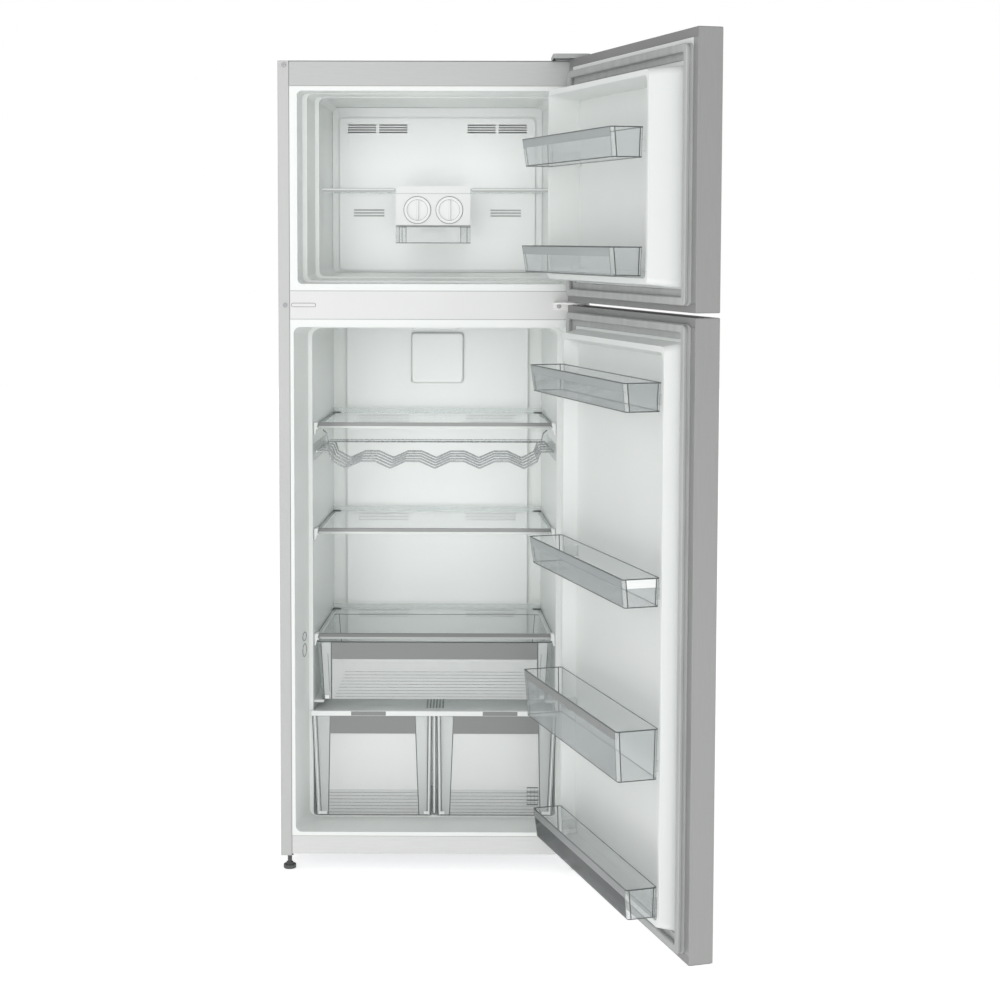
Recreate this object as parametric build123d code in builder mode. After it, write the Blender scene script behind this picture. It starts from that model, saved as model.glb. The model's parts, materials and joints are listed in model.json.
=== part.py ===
from build123d import *
import os

# Top freezer refrigerator. X runs across the front, Y into the cabinet and Z up, in millimetres.
# The origin is on the floor, half way across the cabinet, in the plane of its front frame.
# Door pieces are sized as if the doors were shut and built in DOOR, the plane that carries them open.

# Case
HALF_WIDTH = 350.0
CASE_Z = (40.0, 1850.0)
CASE_DEPTH = 600.0
SPACER_DEPTH = 15.0
SHEET = 1.0
RETURN_WIDTH = 25.0
FRAME_HALF = 324.0
TOP_BAR_Z = (1794.0, 1848.0)
BOTTOM_BAR_Z = (44.0, 86.0)
MULLION_Z = (1273.0, 1336.0)
FOOT_X = 333.0
FOOT_Y = 36.0
STUD_RADIUS = 5.0
ROLLER_AXIS = (560.0, 19.0)
COMPRESSOR_AT = (120.0, 480.0)

# Foam blocks are cast one after another, with a hairline between them
JOINT = 0.2

# Liners: each stage is (y, half width, low z, high z, corner radius), from the front to the back
LINER = 1.5
FRIDGE_FLANGE_Z = (86.6, 1272.4)
FREEZER_FLANGE_Z = (1336.6, 1793.4)
FRIDGE_MOUTH = ((0, 316, 95.5, 1255, 15), (100, 292, 100, 1252, 22))
FRIDGE_FLOOR = 104.0
HUMP_TOP = 345.0
HUMP_FRONT = 340.0
FRIDGE_CEILING = 1248.0
FRIDGE_LOW = ((98, 283, FRIDGE_FLOOR, 620, 7), (HUMP_FRONT, 270.4, FRIDGE_FLOOR, 620, 7))
FRIDGE_HIGH = ((98, 283, HUMP_TOP, FRIDGE_CEILING, 22), (500, 262, HUMP_TOP, FRIDGE_CEILING, 22))
FREEZER_MOUTH = ((0, 306.7, 1352, 1783, 10), (60, 300, 1354, 1781, 14))
FREEZER_STEP = ((58, 290, 1358, 1780, 14), (130, 277, 1362, 1779, 14))
FREEZER_BACK = ((128, 268, 1366, 1777, 14), (500, 258, 1371, 1776, 14))

# Doors, as if shut
DOOR_OPEN = 107.0
PIN = (330.0, -40.0)
PIN_RADIUS = 4.0
PIN_PLAY = 0.05
DOOR_Y = (-65.0, -15.0)
CAP_HEIGHT = 18.0
DOOR_HEM = 23.0
GASKET_TIP = -0.8
FREEZER_DOOR_Z = (1315.0, 1850.0)
FRIDGE_DOOR_Z = (58.0, 1306.0)
FREEZER_DYKE = 57.0
FREEZER_DYKE_Z = (1360.0, 1783.0)
FREEZER_SEAL_Z = (1328.0, 1822.0)
FRIDGE_DYKE = 21.0
FRIDGE_DYKE_Z = (103.0, 1257.0)
FRIDGE_SEAL_Z = (71.0, 1293.0)

# Interior fittings
SHELF_HEIGHTS = (522.0, 770.5, 1018.0)
SHELF_Y = (118.0, 474.0)
GLASS = 4.0
FREEZER_SHELF_Z = 1567.0
KNOB_X = (-41.5, 32.8)
KNOB_Z = 1520.0
CLEAR_WALL = 2.2
RACK_PITCH = 104.0
RACK_Y = (122.0, 330.0)
RACK_WIRES = 5
RACK_ROD_Z = 960.0
RACK_INSET = 7.0
WIRE_RADIUS = 2.0

DOOR = Plane(Location((*PIN, 0), (0, 0, DOOR_OPEN)) * Location((-PIN[0], -PIN[1], 0)))
DOOR_FACE = Plane(DOOR.origin, x_dir=DOOR.x_dir, z_dir=-DOOR.y_dir)


def middle(span):
    return (span[0] + span[1]) / 2


def slab(x, y, z, plane=Plane.XY, corner=0.0, mode=Mode.ADD):
    """An upright block between three spans of a plane's axes, with its upright edges rounded by corner."""
    with BuildSketch(plane.offset(z[0])) as outline:
        with Locations((middle(x), middle(y))):
            if corner:
                RectangleRounded(abs(x[1] - x[0]), abs(y[1] - y[0]), corner)
            else:
                Rectangle(abs(x[1] - x[0]), abs(y[1] - y[0]))
    extrude(outline.sketch, amount=z[1] - z[0], mode=mode)


def panel(x, z, y, corner, mode=Mode.ADD):
    """A block seen from the front as a rounded rectangle, from y[0] back to y[1]."""
    with BuildSketch(Plane.XZ.offset(-y[0])) as outline:
        with Locations((middle(x), middle(z))):
            RectangleRounded(abs(x[1] - x[0]), abs(z[1] - z[0]), corner)
    extrude(outline.sketch, amount=y[0] - y[1], mode=mode)


def prism(points, z, plane=Plane.XY, mode=Mode.ADD):
    """An upright block over a straight-sided outline."""
    with BuildSketch(plane.offset(z[0])) as outline:
        Polygon(*points, align=None)
    extrude(outline.sketch, amount=z[1] - z[0], mode=mode)


def rod(centre, radius, span, plane=Plane.XY, mode=Mode.ADD):
    """A round bar across a plane, from span[0] to span[1] along its normal."""
    with BuildSketch(plane.offset(span[0])) as outline:
        with Locations(centre):
            Circle(radius)
    extrude(outline.sketch, amount=span[1] - span[0], mode=mode)


def tapered_room(stages, grow=0.0, mode=Mode.ADD):
    """A room that narrows towards the back, grown on every side, and behind, by the wall's thickness."""
    outlines = []
    for deeper, (y, half, low, high, corner) in enumerate(stages):
        with BuildSketch(Plane.XZ.offset(-y - grow * deeper)) as outline:
            with Locations((0, (low + high) / 2)):
                RectangleRounded(2 * (half + grow), high - low + 2 * grow, corner + grow)
        outlines.append(outline.sketch)
    loft(outlines, mode=mode)


def lofted_tub(foot, rim, z, plane, wall=CLEAR_WALL, corner=12.0):
    """An open tub between two outlines of the same number of points, with a floor as thick as its wall."""
    for inset, low, high, mode in ((0.0, z[0], z[1], Mode.ADD), (wall, z[0] + wall, z[1], Mode.SUBTRACT)):
        ends = []
        for points, height in ((foot, low), (rim, high)):
            with BuildSketch(plane.offset(height)) as outline:
                Polygon(*points, align=None)
                fillet(outline.vertices(), corner)
                if inset:
                    offset(amount=-inset, mode=Mode.REPLACE)
            ends.append(outline.sketch)
        loft(ends, mode=mode)


def fridge_wall(y):
    """Half the refrigerator compartment's inner width at a depth."""
    (front, front_half, *_), (back, back_half, *_) = FRIDGE_HIGH
    return front_half + (back_half - front_half) * (y - front) / (back - front)


def tapered_plan(half_at, y, clearance):
    """A plan outline that follows the side walls, kept clear of them."""
    front, back = half_at(y[0]) - clearance, half_at(y[1]) - clearance
    return ((-front, y[0]), (front, y[0]), (back, y[1]), (-back, y[1]))


def save(piece, name):
    piece.label = name
    export_step(piece, f"parts/{name}.step")


def side_panel(side):
    """A folded side sheet: the wall, the front return that frames the doors and the rear return."""
    edge = side * HALF_WIDTH
    with BuildPart() as sheet:
        slab((edge - side * SHEET, edge), (0, CASE_DEPTH), CASE_Z)
        slab((edge - side * RETURN_WIDTH, edge), (0, SHEET), CASE_Z)
        slab((edge - side * RETURN_WIDTH, edge), (CASE_DEPTH - SHEET, CASE_DEPTH), CASE_Z)
        corners = sheet.edges().filter_by(Axis.Z).sort_by(Axis.X)
        outer = (corners[-2:] if side > 0 else corners[:2])
        fillet(outer, 1.5 * SHEET)
    return sheet.part


def case_panels():
    """The folded steel case and the bars between its front returns."""
    inner = HALF_WIDTH - SHEET - 0.2
    with BuildPart() as top:
        slab((-inner, inner), (SHEET + 0.4, CASE_DEPTH - SHEET - 0.2), (CASE_Z[1] - SHEET, CASE_Z[1]))
    with BuildPart() as top_bar:
        slab((-FRAME_HALF, FRAME_HALF), (0, SHEET), TOP_BAR_Z)
        slab((-FRAME_HALF, FRAME_HALF), (SHEET, 12), (TOP_BAR_Z[1] - SHEET, TOP_BAR_Z[1]))
    with BuildPart() as back:
        slab((-inner + 1, inner - 1), (CASE_DEPTH - 3 * SHEET, CASE_DEPTH - 2 * SHEET), (312, CASE_Z[1] - 2))
    with BuildPart() as bottom_bar:
        slab((-FRAME_HALF, FRAME_HALF), (0, SHEET), BOTTOM_BAR_Z)
        slab((-FRAME_HALF, FRAME_HALF), (SHEET, 12), (BOTTOM_BAR_Z[0], BOTTOM_BAR_Z[0] + SHEET))
    with BuildPart() as mullion:
        slab((-FRAME_HALF, FRAME_HALF), (0, 1.5), MULLION_Z)
        panel((-321, -266), (1300, 1309), (-0.5, 0), 4.4)
    return top.part, top_bar.part, back.part, bottom_bar.part, mullion.part


def base_plate():
    """The floor of the case, with the two brackets that carry the roller axle."""
    with BuildPart() as base:
        slab((-346, 346), (14, CASE_DEPTH - 6), (41, 43))
        for x in (-318, -282, 282, 318):
            slab((x - 1.5, x + 1.5), (545, 575), (8, 41))
        for x in (-FOOT_X, FOOT_X):
            rod((x, FOOT_Y), STUD_RADIUS + PIN_PLAY, (40, 44), mode=Mode.SUBTRACT)
        for x in ((-326, -274), (274, 326)):
            rod(ROLLER_AXIS, PIN_RADIUS, x, Plane.YZ)
    return base.part


def liner(flange_z, stages, ledges):
    """A thin formed liner: its flange, its tapering walls and the ledges for what slides in it."""
    with BuildPart() as shell:
        slab((-FRAME_HALF, FRAME_HALF), (0, LINER), flange_z)
        for stage in stages:
            tapered_room(stage, LINER)
        for stage in stages:
            tapered_room(stage, mode=Mode.SUBTRACT)
        for half_at, y, z, reach in ledges:
            for side in (-1, 1):
                inner = [(side * (half_at(depth) - reach), depth) for depth in y]
                outer = [(side * (half_at(depth) + LINER / 2), depth) for depth in reversed(y)]
                prism((*inner, *outer), z)
    return shell.part


def cabinet_foam():
    """The insulation, as the blocks that fill the sides, the back, the mullion, the top and the bottom."""
    rear = CASE_DEPTH - 4
    mouth, depth = 100, 501.5
    side_plan = ((348.7, 14), (318.5, 14), (294, mouth), (264, depth), (264, rear), (348.7, rear))
    levels = ((1785, 1846), (1258.5, 1349), (45, 93.5))
    with BuildPart() as foam:
        for side in (-1, 1):
            prism([(side * x, y) for x, y in side_plan], (44, 1848.5))
        for z in levels:
            prism(((-316, 14), (316, 14), (293.5, mouth), (-293.5, mouth)), z)
            end = depth if z[0] > 100 else HUMP_FRONT
            prism(((-292, mouth + JOINT), (292, mouth + JOINT), (263.5, end), (-263.5, end)), z)
        slab((-263.5, 263.5), (502, rear), (330, 1848))
        slab((-263.5, 263.5), (342, 362), (94, 343))
        slab((-263.5, 263.5), (362 + JOINT, 502 - JOINT), (322, 343))
    return foam.part


def evaporator_set():
    """The cover behind the freezer, the finned coil behind it, and the fan with its motor."""
    with BuildPart() as cover:
        panel((-255, 255), (1374, 1772), (448, 450), 10)
        panel((-242, 242), (1376, 1750), (440, 448), 12)
        panel((-239, 239), (1379, 1747), (443, 451), 10, mode=Mode.SUBTRACT)
        for side in (-1, 1):
            with BuildSketch(Plane.XZ.offset(-439)) as upper:
                with Locations((side * 147.5, 1724)):
                    with GridLocations(77, 6, 2, 4):
                        SlotOverall(70, 3.4)
            extrude(upper.sketch, amount=-6, mode=Mode.SUBTRACT)
            with BuildSketch(Plane.XZ.offset(-439)) as lower:
                with Locations((side * 169, 1517)):
                    with GridLocations(0, 7, 1, 3):
                        SlotOverall(76, 3.6)
            extrude(lower.sketch, amount=-6, mode=Mode.SUBTRACT)
    with BuildPart() as coil:
        for x in range(-200, 201, 16):
            slab((x - 0.5, x + 0.5), (462, 492), (1400, 1560))
        for z in range(1415, 1560, 32):
            rod((477, z), 4, (-212, 212), Plane.YZ)
        for x in (-212, 212):
            rod((477, 1479), 4.5, (x - 4, x + 4), Plane.YZ)
            slab((x - 3, x + 3), (473, 481), (1411, 1547))
    fan_plane = Plane.XZ.offset(-456)
    with BuildPart() as fan:
        rod((0, 1650), 15, (0, -14), fan_plane)
        rod((0, 1650), 3.05, (1, -15), fan_plane, mode=Mode.SUBTRACT)
        with BuildSketch(fan_plane) as blades:
            with Locations((0, 1650)):
                with PolarLocations(29, 5):
                    SlotOverall(40, 20)
            with Locations((0, 1650)):
                Circle(13, mode=Mode.SUBTRACT)
        extrude(blades.sketch, amount=-3)
    with BuildPart() as motor:
        rod((0, 1650), 18, (-15, -34), fan_plane)
        rod((0, 1650), 3, (1, -15), fan_plane)
    return cover.part, coil.part, fan.part, motor.part


def air_duct():
    """The refrigerator's rear air duct with its slots, and the square grille cover on it."""
    with BuildPart() as duct:
        panel((-227, 227), (380, 1236), (485, 499.4), 10)
        panel((-223, 223), (384, 1232), (489, 500), 7, mode=Mode.SUBTRACT)
        for z in (1002, 754, 507):
            for side in (-1, 1):
                with BuildSketch(Plane.XZ.offset(-484)) as slots:
                    with Locations((side * 135, z)):
                        with GridLocations(0, 7.5, 1, 3):
                            SlotOverall(126, 3.6)
                extrude(slots.sketch, amount=-6, mode=Mode.SUBTRACT)
    with BuildPart() as cover:
        panel((-64.5, 64.5), (1077, 1218), (470, 484.7), 8)
        fillet(cover.faces().sort_by(Axis.Y)[0].edges(), 3)
        panel((-61, 61), (1080.5, 1214.5), (473.5, 486), 5, mode=Mode.SUBTRACT)
        for side in (-1, 1):
            panel((side * 52, side * 56), (1095, 1200), (469, 474), 1.9, mode=Mode.SUBTRACT)
    return duct.part, cover.part


def compressor_bay():
    """What stands on the base behind the hump: compressor, water pan, cover and cable inlet."""
    with BuildPart() as pump:
        rod(COMPRESSOR_AT, 76, (62, 215))
        fillet(pump.edges().filter_by(GeomType.CIRCLE).sort_by(Axis.Z)[-1], 45)
        rod(COMPRESSOR_AT, 78, (130, 137))
        slab((40, 200), (420, 540), (58, 62), corner=12)
        for x in (52, 188):
            for y in (432, 528):
                rod((x, y), 9, (43.2, 58))
    with BuildPart() as pan:
        slab((30, 230), (390, 570), (240, 280), corner=14)
        slab((32.5, 227.5), (392.5, 567.5), (242.5, 281), corner=11.5, mode=Mode.SUBTRACT)
        slab((112, 128), (470, 490), (215.4, 240))
    with BuildPart() as cover:
        panel((-323, 323), (48, 308), (CASE_DEPTH - 3, CASE_DEPTH - 1.5), 6)
        with BuildSketch(Plane.XZ.offset(4 - CASE_DEPTH)) as slots:
            with Locations((-150, 180)):
                with GridLocations(34, 16, 6, 9):
                    SlotOverall(26, 6)
        extrude(slots.sketch, amount=-6, mode=Mode.SUBTRACT)
        rod((250, 120), 9.1, (4 - CASE_DEPTH, -CASE_DEPTH), Plane.XZ, mode=Mode.SUBTRACT)
    with BuildPart() as gland:
        rod((250, 120), 9, (3 - CASE_DEPTH, 0.5 - CASE_DEPTH), Plane.XZ)
        rod((250, 120), 12, (0.5 - CASE_DEPTH, -CASE_DEPTH - 1), Plane.XZ)
        rod((250, 120), 4.5, (4 - CASE_DEPTH, -CASE_DEPTH - 2), Plane.XZ, mode=Mode.SUBTRACT)
    with BuildPart() as spacers:
        for x in (-200, 200):
            panel((x - 25, x + 25), (1300, 1360), (CASE_DEPTH - 2, CASE_DEPTH + SPACER_DEPTH), 8)
    return pump.part, pan.part, cover.part, gland.part, spacers.part


def hinges():
    """The three hinge brackets with the pins that the doors turn on, and the cover over the top one."""
    with BuildPart() as top:
        slab((268, 342), (-48, 50), (1852, 1855), corner=6)
        slab((272, 338), (4, 46), (1850.2, 1852))
        rod(PIN, PIN_RADIUS, (1838, 1852))
    with BuildPart() as top_cover:
        slab((263, 345), (-53, 58), (1851, 1861), corner=9)
        slab((265, 343), (-51, 56), (1850, 1859), corner=7, mode=Mode.SUBTRACT)
    with BuildPart() as centre:
        slab((269, 312), (-2.6, -0.1), (1294, 1312.5))
        slab((269, 342), (-48, -0.1), (1308.5, 1312.5), corner=5)
        rod(PIN, PIN_RADIUS, (1296, 1325))
        rod((281, 1303), 2.6, (-1, 4), Plane.XZ, mode=Mode.SUBTRACT)
    with BuildPart() as bottom:
        slab((290, 342), (-48, -0.3), (50, 54), corner=5)
        slab((290, 323), (-3, -0.3), (46, 70))
        rod(PIN, PIN_RADIUS, (54, 68))
    return top.part, top_cover.part, centre.part, bottom.part


def case_screws():
    """The screws on the front returns and the hinge bracket, each a domed head on a short shank."""
    with BuildPart() as screws:
        for x, z, y in ((-335, 1304, 0), (-336, 1840, 0), (335, 1840, 0), (281, 1303, -2.6)):
            with BuildSketch(Plane.XZ.offset(-y)) as head:
                with Locations((x, z)):
                    Circle(5)
            extrude(head.sketch, amount=2)
            with BuildSketch(Plane.XZ.offset(-y)) as recess:
                with Locations((x, z)):
                    Rectangle(6, 1.2)
                    Rectangle(1.2, 6)
            extrude(recess.sketch.moved(Location((0, -1, 0))), amount=2, mode=Mode.SUBTRACT)
        fillet(screws.edges().filter_by(GeomType.CIRCLE).group_by(Axis.Y)[0], 0.8)
    return screws.part


def levelling_foot(x):
    """A threaded foot: a pad on the floor, its stud and the hexagon that a wrench turns."""
    with BuildPart() as foot:
        rod((x, FOOT_Y), 14.5, (0, 9))
        fillet(foot.edges(), 1.2)
        rod((x, FOOT_Y), 8, (9, 14))
        rod((x, FOOT_Y), STUD_RADIUS, (14, 43.5))
        with BuildSketch(Plane.XY.offset(30)) as nut:
            with Locations((x, FOOT_Y)):
                RegularPolygon(9, 6)
        extrude(nut.sketch, amount=7)
    return foot.part


def rear_rollers():
    """The two rollers that the back of the case stands on."""
    with BuildPart() as rollers:
        for x in (-300, 300):
            rod(ROLLER_AXIS, ROLLER_AXIS[1], (x - 12, x + 12), Plane.YZ)
        fillet(rollers.edges().filter_by(GeomType.CIRCLE), 2)
        rod(ROLLER_AXIS, PIN_RADIUS + PIN_PLAY, (-320, 320), Plane.YZ, mode=Mode.SUBTRACT)
    return rollers.part


def fridge_shelves():
    """The glass shelves, tapering with the walls, and the trims along their front and rear edges."""
    front, back = SHELF_Y
    with BuildPart() as glass:
        for height in SHELF_HEIGHTS:
            prism(tapered_plan(fridge_wall, (front + 6, back - 4), 1.6), (height - 2, height - 2 + GLASS))
    with BuildPart() as trims:
        for height in SHELF_HEIGHTS:
            half = fridge_wall(front) - 2
            slab((-half, half), (front, front + 6), (height - 1, height + 4.5))
            prism(tapered_plan(fridge_wall, (front + 0.5, front + 14), 2), (height + GLASS - 2, height + 4.5))
            rear = fridge_wall(back) - 1.6
            slab((-rear, rear), (back - 4, back), (height - 2, height + 14))
    return glass.part, trims.part


def rack_end(y, side):
    """Where a cross wire of the bottle rack meets its side rod, beside the wall."""
    return side * (fridge_wall(y) - RACK_INSET)


def wine_rack():
    """The wire bottle rack: cross wires waved to cradle bottles, their side and rear rods, and the rails."""
    crest, trough, flat = 937, 921, 17
    wave = [(-238, crest)]
    for n in range(-2, 3):
        wave.append((n * RACK_PITCH, trough))
        if n < 2:
            middle_x = (n + 0.5) * RACK_PITCH
            wave += [(middle_x - flat, crest), (middle_x + flat, crest)]
    wave.append((238, crest))
    step = (RACK_Y[1] - RACK_Y[0]) / (RACK_WIRES - 1)
    with BuildPart() as rack:
        for wire in range(RACK_WIRES):
            y = RACK_Y[0] + wire * step
            ends = [(rack_end(y, side), RACK_ROD_Z) for side in (-1, 1)]
            with BuildLine(Plane.XZ.offset(-y)) as path:
                FilletPolyline(ends[0], (-246, RACK_ROD_Z), *wave, (246, RACK_ROD_Z), ends[1], radius=7)
            with BuildSketch(Plane(origin=path.line @ 0, z_dir=path.line % 0)) as section:
                Circle(WIRE_RADIUS)
            sweep(section.sketch, path=path.line)
        for side in (-1, 1):
            front, rear = (Vector(rack_end(y, side), y, RACK_ROD_Z) for y in (RACK_Y[0] - 4, RACK_Y[1] + 4))
            with BuildSketch(Plane(origin=front, z_dir=rear - front)) as section:
                Circle(WIRE_RADIUS + 0.4)
            extrude(section.sketch, amount=(rear - front).length)
        rear_half = rack_end(RACK_Y[1] + 3, 1)
        rod((RACK_Y[1] + 3, RACK_ROD_Z), WIRE_RADIUS, (-rear_half, rear_half), Plane.YZ)
    with BuildPart() as rails:
        for side in (-1, 1):
            outer = [(side * (fridge_wall(y) - 0.4), y) for y in (336, 112)]
            inner = [(side * (fridge_wall(y) - 3), y) for y in (112, 336)]
            prism((*inner, *outer), (940, 978))
    return rack.part, rails.part


def chiller_drawer():
    """The wide clear drawer under the lowest shelf, with a ribbed floor and a grip band along its front."""
    foot = tapered_plan(fridge_wall, (124, 440), 14)
    rim = tapered_plan(fridge_wall, (120, 446), 3)
    with BuildPart() as drawer:
        lofted_tub(foot, rim, (374, 512), Plane.XY, corner=14)
        slab((-262, 262), (116.5, 121), (474, 510), corner=1.5)
        with BuildSketch(Plane.XY.offset(376.2)) as ribs:
            with Locations((0, 282)):
                with GridLocations(0, 24, 1, 12):
                    Rectangle(480, 2)
        extrude(ribs.sketch, amount=1.6)
    return drawer.part


def crisper_cover():
    """The glass lid over the two bottom drawers and the trim along its front."""
    with BuildPart() as glass:
        prism(tapered_plan(fridge_wall, (99.5, 338), 1.6), (347.5, 351.5))
    with BuildPart() as trim:
        slab((-288, 288), (90, 98), (343, 354), corner=2)
        slab((-287, 287), (97, 99.5), (344, 347.3))
    return glass.part, trim.part


def crisper(side):
    """A clear bottom drawer: a flaring front plate with a grip lip, and a tub that follows the side wall."""
    wall = 3.4
    rim = [(side * x, y) for x, y in ((5.5, 98), (fridge_wall(98) - wall, 98))]
    rim += [(side * x, y) for x, y in ((fridge_wall(334) - wall, 334), (5.5, 334))]
    foot = [(side * x, y) for x, y in ((8, 101), (270, 101), (260, 330), (8, 330))]
    plate = [(side * x, z) for x, z in ((5.5, 342), (286.5, 342), (276, 106), (8, 106))]
    with BuildPart() as drawer:
        lofted_tub(foot, rim, (104.6, 341), Plane.XY)
        with BuildSketch(Plane.XZ.offset(-94.5)) as front:
            Polygon(*plate, align=None)
            fillet(front.vertices(), 9)
        extrude(front.sketch, amount=-3.6)
        grip = (side * 40, side * 246)
        panel(grip, (299, 338), (94.4, 96.4), 5, mode=Mode.SUBTRACT)
        slab(grip, (96.2, 112), (338.8, 341.8), corner=1.4)
    return drawer.part


def freezer_fittings():
    """The freezer's glass shelf with its trim, the twist ice maker with its trays, and the ice box."""
    plan = ((-262, 156), (262, 156), (256, 430), (-256, 430))
    maker_x = (-91.5, 81.5)
    with BuildPart() as glass:
        prism(plan, (FREEZER_SHELF_Z - 2, FREEZER_SHELF_Z + 2))
        slab((-94, 84), (155, 350), (1560, 1575), mode=Mode.SUBTRACT)
    with BuildPart() as trim:
        for x in ((-262, -95), (85, 262)):
            slab(x, (150, 156), (FREEZER_SHELF_Z - 3.5, FREEZER_SHELF_Z + 3.5), corner=1)
        slab((-256, 256), (430, 434), (FREEZER_SHELF_Z - 2, FREEZER_SHELF_Z + 10))
    with BuildPart() as housing:
        slab(maker_x, (150, 348), (1484, 1575))
        fillet(housing.edges().filter_by(Axis.Y).group_by(Axis.Z)[-1], 8)
        slab((-88.5, 78.5), (156, 345), (1483, 1572), mode=Mode.SUBTRACT)
        for x in KNOB_X:
            rod((x, KNOB_Z), 32, (-149, -157), Plane.XZ, mode=Mode.SUBTRACT)
            rod((x, KNOB_Z), PIN_RADIUS + PIN_PLAY, (-344, -349), Plane.XZ, mode=Mode.SUBTRACT)
    with BuildPart() as box:
        slab((-92.5, 82.5), (152, 340), (1443, 1482.5), corner=8)
        slab((-90, 80), (154.5, 337.5), (1445.5, 1484), corner=5.5, mode=Mode.SUBTRACT)
        slab((-40, 30), (147, 152.5), (1466, 1482), corner=2)
    return glass.part, trim.part, housing.part, box.part

def ice_tray(x):
    """One twisting tray: the round knob, the shaft and the open tray with its cell walls."""
    front = Plane.XZ
    with BuildPart() as tray:
        rod((x, KNOB_Z), 31, (-146, -156.5), front)
        fillet(tray.faces().sort_by(Axis.Y)[0].edges(), 2)
        rod((x, KNOB_Z), 24.5, (-145, -150), front, mode=Mode.SUBTRACT)
        slab((x - 3, x + 3), (144.5, 151), (KNOB_Z - 23, KNOB_Z + 23), corner=1.5)
        rod((x, KNOB_Z), 8, (-156, -172), front)
        rod((x, KNOB_Z), PIN_RADIUS, (-338, -350), front)
        slab((x - 26, x + 26), (170, 340), (KNOB_Z - 8, KNOB_Z + 14))
        for row in (-12, 12):
            for step in range(6):
                y = 176 + step * 26.5
                slab((x + row - 10, x + row + 10), (y, y + 23), (KNOB_Z - 5, KNOB_Z + 15), mode=Mode.SUBTRACT)
    return tray.part


def wall_lamp():
    """The lamp lens in the refrigerator's ceiling."""
    with BuildPart() as lens:
        slab((-55, 55), (180, 240), (FRIDGE_CEILING - 7, FRIDGE_CEILING - 0.3), corner=10)
        fillet(lens.faces().sort_by(Axis.Z)[0].edges(), 3)
    return lens.part


def door_panel(z, seal_z, dyke_z, dyke, bosses):
    """A door's skin, end caps, inner liner, foam and magnetic gasket."""
    low, high = z
    face, inside = DOOR_Y
    edge = HALF_WIDTH
    with BuildPart() as skin:
        slab((-edge, edge), (face, face + SHEET), (low + 1, high - 1), DOOR)
        for side in (-1, 1):
            slab((side * (edge - SHEET), side * edge), (face, inside), (low + 1, high - 1), DOOR)
            hem = (side * (edge - DOOR_HEM), side * edge)
            slab(hem, (inside - SHEET, inside), (low + CAP_HEIGHT + 0.3, high - CAP_HEIGHT - 0.3), DOOR)
    with BuildPart() as caps:
        for span, cap_end in (((low, low + CAP_HEIGHT), low), ((high - CAP_HEIGHT, high), high)):
            slab((-edge + 1.2, edge - 1.2), (face + 1.2, inside), span, DOOR)
            rim = (cap_end, cap_end + 0.9) if cap_end == low else (cap_end - 0.9, cap_end)
            slab((-edge, edge), (face, inside), rim, DOOR, corner=4)
            rod(PIN, PIN_RADIUS + PIN_PLAY, (span[0] - 1, span[1] - 3) if cap_end == low
                else (span[0] + 3, span[1] + 1), mode=Mode.SUBTRACT)
    shell_z = (low + CAP_HEIGHT + 0.3, high - CAP_HEIGHT - 0.3)
    with BuildPart() as shell:
        slab((-edge + DOOR_HEM + 0.3, edge - DOOR_HEM - 0.3), (inside - LINER, inside), shell_z, DOOR)
        dyke_ring(dyke_z, inside - 0.1, dyke, 0.0, Mode.ADD)
        dyke_ring(dyke_z, inside - 2, dyke - LINER, LINER, Mode.SUBTRACT)
        recess(dyke_z, inside + 6, dyke, LINER, Mode.ADD)
        recess(dyke_z, inside + 6, dyke, 0.0, Mode.SUBTRACT)
        for boss_z in bosses:
            for side in (-1, 1):
                slab((side * 255, side * 272), (inside + 7, inside + 24), (boss_z, boss_z + 8), DOOR)
    with BuildPart() as foam:
        slab((-edge + 1.3, edge - 1.3), (face + 1.3, inside - LINER - 0.1), shell_z, DOOR)
    with BuildPart() as gasket:
        for margin, width, base, tip in ((0, 30, inside + 0.1, inside + 3), (4, 8, inside + 3, inside + 7),
                                         (0, 17, inside + 7, GASKET_TIP)):
            seal_ring(seal_z, margin, width, (base, tip))
    return skin.part, caps.part, shell.part, foam.part, gasket.part


def seal_ring(z, margin, width, y):
    """One layer of a gasket: a rounded frame lying against the door's inner face."""
    half = 327 - margin
    outer = (z[0] + margin, z[1] - margin)
    for grow, mode in ((0, Mode.ADD), (width, Mode.SUBTRACT)):
        with BuildSketch(DOOR_FACE.offset(-y[0])) as ring:
            with Locations((0, middle(outer))):
                RectangleRounded(2 * (half - grow), outer[1] - outer[0] - 2 * grow, 12 - grow / 3)
        extrude(ring.sketch, amount=y[0] - y[1], mode=mode)


def dyke_ring(z, base, tip, inset, mode):
    """The raised tray form of a door liner, from its base on the door to its narrower tip."""
    ends = []
    for y, half, narrower in ((base, 294, 0), (tip, 285, 8)):
        with BuildSketch(DOOR_FACE.offset(-y)) as outline:
            with Locations((0, middle(z))):
                tall = z[1] - z[0] - 2 * (inset + narrower)
                RectangleRounded(2 * (half - inset), tall, 14 - inset)
        ends.append(outline.sketch)
    loft(ends, mode=mode)


def recess(z, floor, tip, grow, mode):
    """The hollow between a door liner's dykes, wider at its mouth than at its floor."""
    ends = []
    for y, half, margin in ((floor - grow, 266, 30), (tip + 0.01 * (grow == 0), 276, 19)):
        with BuildSketch(DOOR_FACE.offset(-y)) as outline:
            with Locations((0, middle(z))):
                RectangleRounded(2 * (half + grow), z[1] - z[0] - 2 * (margin - grow), 12 + grow)
        ends.append(outline.sketch)
    loft(ends, mode=mode)


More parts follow.
